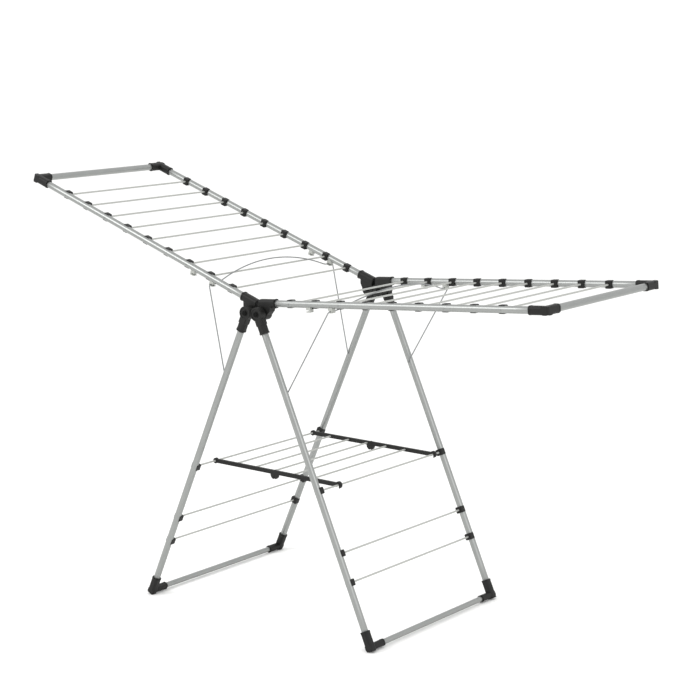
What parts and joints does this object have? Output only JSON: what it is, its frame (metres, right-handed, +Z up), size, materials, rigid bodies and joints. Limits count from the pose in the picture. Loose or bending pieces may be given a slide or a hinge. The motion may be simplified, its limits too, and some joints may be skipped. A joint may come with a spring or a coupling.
{
  "type": "folding clothes drying rack",
  "caption": "Free-standing folding clothes airer: two crossed leg frames, two tilting winged racks of rods held by wire stays, and a hinged lower shelf.",
  "frame": {"origin": "on the floor midway between the four feet, under the middle of the hub", "axes": "+X towards the level (right) wing, +Y to the rear along the rods, +Z up"},
  "size_m": [1.9169, 0.6348, 1.2741],
  "materials": {
    "tube": "satin anodised",
    "plastic": "satin moulded",
    "rod": "grey coated wire",
    "wire": "drawn spring wire",
    "catch": "light grey moulded",
    "pin": "black"
  },
  "bodies": {
    "hub": {"hub_pins_front": "pin", "hub_pins_rear": "pin", "link_plate_front": "plastic", "link_plate_rear": "plastic"},
    "left_legs": {"left_foot_elbow_front": "plastic", "left_foot_elbow_rear": "plastic", "left_foot_tube": "tube", "left_leg_clips_front": "plastic", "left_leg_clips_rear": "plastic", "left_leg_head_front": "plastic", "left_leg_head_rear": "plastic", "left_leg_rods": "rod", "left_leg_tube_front": "tube", "left_leg_tube_rear": "tube"},
    "right_legs": {"right_foot_elbow_front": "plastic", "right_foot_elbow_rear": "plastic", "right_foot_tube": "tube", "right_leg_clips_front": "plastic", "right_leg_clips_rear": "plastic", "right_leg_head_front": "plastic", "right_leg_head_rear": "plastic", "right_leg_rods": "rod", "right_leg_tube_front": "tube", "right_leg_tube_rear": "tube"},
    "left_wing": {"left_catches_front": "catch", "left_catches_rear": "catch", "left_corner_front": "plastic", "left_corner_rear": "plastic", "left_end_tube": "tube", "left_rivets": "tube", "left_side_tube_front": "tube", "left_side_tube_rear": "tube", "left_wing_clips_front": "plastic", "left_wing_clips_rear": "plastic", "left_wing_head_front": "plastic", "left_wing_head_rear": "plastic", "left_wing_rods": "rod"},
    "right_wing": {"right_catches_front": "catch", "right_catches_rear": "catch", "right_corner_front": "plastic", "right_corner_rear": "plastic", "right_end_tube": "tube", "right_rivets": "tube", "right_side_tube_front": "tube", "right_side_tube_rear": "tube", "right_wing_clips_front": "plastic", "right_wing_clips_rear": "plastic", "right_wing_head_front": "plastic", "right_wing_head_rear": "plastic", "right_wing_rods": "rod"},
    "left_stay": {"left_stay": "wire"},
    "right_stay": {"right_stay": "wire"},
    "shelf": {"shelf_bar_front": "plastic", "shelf_bar_rear": "plastic", "shelf_rods": "rod"}
  },
  "joints": [
    {"name": "leg_fold", "type": "hinge", "parent": "hub", "child": "left_legs", "pos_m": [-0.021, 0, 0.92094], "axis": [0, -1, 0], "range_deg": [0, 23.94]},
    {"name": "right_leg_fold", "type": "hinge", "parent": "hub", "child": "right_legs", "pos_m": [0.021, 0, 0.92094], "axis": [0, 1, 0], "range_deg": [0, 23.94]},
    {"name": "left_wing_fold", "type": "hinge", "parent": "left_legs", "child": "left_wing", "pos_m": [-0.021, 0, 0.92094], "axis": [0, -1, 0], "range_deg": [0, 85.06], "deforming": ["left_stay"]},
    {"name": "left_stay_swing", "type": "hinge", "parent": "left_legs", "child": "left_stay", "pos_m": [-0.11839, 0, 0.70159], "axis": [0, -1, 0], "range_deg": [0, 141.12]},
    {"name": "right_wing_fold", "type": "hinge", "parent": "right_legs", "child": "right_wing", "pos_m": [0.021, 0, 0.92094], "axis": [0, 1, 0], "range_deg": [0, 70.46], "deforming": ["right_stay"]},
    {"name": "right_stay_swing", "type": "hinge", "parent": "right_legs", "child": "right_stay", "pos_m": [0.11839, 0, 0.70159], "axis": [0, 1, 0], "range_deg": [0, 121.91]},
    {"name": "shelf_fold", "type": "hinge", "parent": "left_legs", "child": "shelf", "pos_m": [-0.23773, 0, 0.43279], "axis": [0, -1, 0], "range_deg": [0, 66.2]}
  ],
  "couplings": [
    {"joint": "right_leg_fold", "follows": "leg_fold", "ratio": 1},
    {"joint": "shelf_fold", "follows": "leg_fold", "ratio": 2.7594},
    {"joint": "left_stay_swing", "follows": "left_wing_fold", "ratio": 1.6579},
    {"joint": "right_stay_swing", "follows": "right_wing_fold", "ratio": 1.7288}
  ]
}
